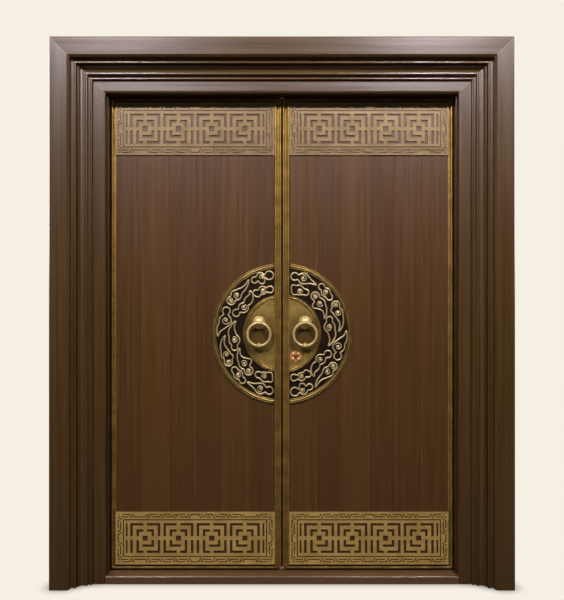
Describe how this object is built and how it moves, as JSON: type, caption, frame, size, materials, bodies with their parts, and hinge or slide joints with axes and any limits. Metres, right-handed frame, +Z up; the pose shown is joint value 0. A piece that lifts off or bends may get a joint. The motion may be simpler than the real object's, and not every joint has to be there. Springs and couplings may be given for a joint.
{
  "type": "double entrance door",
  "caption": "Double-leaf entrance door of dark upright boards with key-fret brass plates, a split cloud medallion and ring knockers, in a rebated frame with a deep stepped casing.",
  "frame": {"origin": "on the floor, on the centre line of the doorway, in the plane of the wall face that the casing lies on", "axes": "+X to the right seen from the street, +Y from the street into the house, +Z up"},
  "size_m": [2, 0.298, 2.3765],
  "materials": {
    "casing_wood": "dark stained, satin lacquer",
    "frame_wood": "dark stained, satin lacquer",
    "core_wood": "plain, edge oiled",
    "board_wood": "stained, satin lacquer",
    "back_board_wood": "stained, satin lacquer",
    "trim_brass": "aged, satin",
    "lattice_brass": "aged, darkened in the recesses",
    "medallion_brass": "cast, dark ground, rubbed on the high parts",
    "knocker_brass": "aged, polished by use",
    "hinge_brass": "satin",
    "handle_brass": "satin",
    "plate_brass": "satin",
    "rose_copper": "red copper tone, satin",
    "lock_steel": "bright, brushed",
    "seal_rubber": "matt black"
  },
  "bodies": {
    "frame": {"left_casing": "casing_wood", "right_casing": "casing_wood", "head_casing": "casing_wood", "left_jamb": "frame_wood", "right_jamb": "frame_wood", "head_jamb": "frame_wood", "threshold": "frame_wood", "frame_seals": "seal_rubber", "frame_hinge_plates": "hinge_brass", "frame_hinge_screws": "hinge_brass", "head_keeper": "plate_brass", "threshold_keeper": "plate_brass", "left_hinge_pins": "hinge_brass", "right_hinge_pins": "hinge_brass"},
    "left_leaf": {"left_core": "core_wood", "left_front_boards": "board_wood", "left_back_boards": "back_board_wood", "left_hinge_trim": "trim_brass", "left_meeting_trim": "trim_brass", "left_top_trim": "trim_brass", "left_bottom_trim": "trim_brass", "left_top_lattice": "lattice_brass", "left_bottom_lattice": "lattice_brass", "left_half_medallion": "medallion_brass", "left_knocker_rose": "knocker_brass", "left_strike_stud": "knocker_brass", "left_hinge_plates": "hinge_brass", "left_hinge_screws": "hinge_brass", "left_pull_handle": "handle_brass", "meeting_seal": "seal_rubber", "strike_plate": "plate_brass", "flush_bolt_plates": "plate_brass"},
    "right_leaf": {"right_core": "core_wood", "right_front_boards": "board_wood", "right_back_boards": "back_board_wood", "right_hinge_trim": "trim_brass", "right_meeting_trim": "trim_brass", "right_top_trim": "trim_brass", "right_bottom_trim": "trim_brass", "right_top_lattice": "lattice_brass", "right_bottom_lattice": "lattice_brass", "right_half_medallion": "medallion_brass", "right_knocker_rose": "knocker_brass", "right_strike_stud": "knocker_brass", "right_hinge_plates": "hinge_brass", "right_hinge_screws": "hinge_brass", "right_pull_handle": "handle_brass", "key_rose": "rose_copper", "key_cylinder": "lock_steel", "inside_rose": "handle_brass", "lock_case": "lock_steel", "lock_faceplate": "plate_brass"},
    "left_ring": {"left_knocker_ring": "knocker_brass"},
    "right_ring": {"right_knocker_ring": "knocker_brass"},
    "key_spindle": {"key_plug": "handle_brass", "thumb_turn": "handle_brass"},
    "lock_bolt_bar": {"lock_bolts": "lock_steel"},
    "upper_flush_rod": {"top_flush_bolt": "lock_steel"},
    "lower_flush_rod": {"bottom_flush_bolt": "lock_steel"}
  },
  "joints": [
    {"name": "left_leaf_swing", "type": "hinge", "parent": "frame", "child": "left_leaf", "pos_m": [-0.7775, 0.135, 1.09], "axis": [0, 0, 1], "range_deg": [0, 100]},
    {"name": "right_leaf_swing", "type": "hinge", "parent": "frame", "child": "right_leaf", "pos_m": [0.7775, 0.135, 1.09], "axis": [0, 0, -1], "range_deg": [0, 100]},
    {"name": "left_ring_lift", "type": "hinge", "parent": "left_leaf", "child": "left_ring", "pos_m": [-0.103, 0.024, 1.14], "axis": [-1, 0, 0], "range_deg": [0, 100]},
    {"name": "right_ring_lift", "type": "hinge", "parent": "right_leaf", "child": "right_ring", "pos_m": [0.103, 0.024, 1.14], "axis": [-1, 0, 0], "range_deg": [0, 100]},
    {"name": "key_turn", "type": "hinge", "parent": "right_leaf", "child": "key_spindle", "pos_m": [0.062, 0.094, 0.989], "axis": [0, -1, 0], "range_deg": [0, 90]},
    {"name": "lock_bolt_throw", "type": "slide", "parent": "right_leaf", "child": "lock_bolt_bar", "axis": [-1, 0, 0], "range_m": [0, 0.02]},
    {"name": "upper_flush_throw", "type": "slide", "parent": "left_leaf", "child": "upper_flush_rod", "axis": [0, 0, 1], "range_m": [0, 0.02]},
    {"name": "lower_flush_throw", "type": "slide", "parent": "left_leaf", "child": "lower_flush_rod", "axis": [0, 0, -1], "range_m": [0, 0.02]}
  ],
  "couplings": [
    {"joint": "key_turn", "follows": "lock_bolt_throw", "rad_per_m": 78.539}
  ]
}
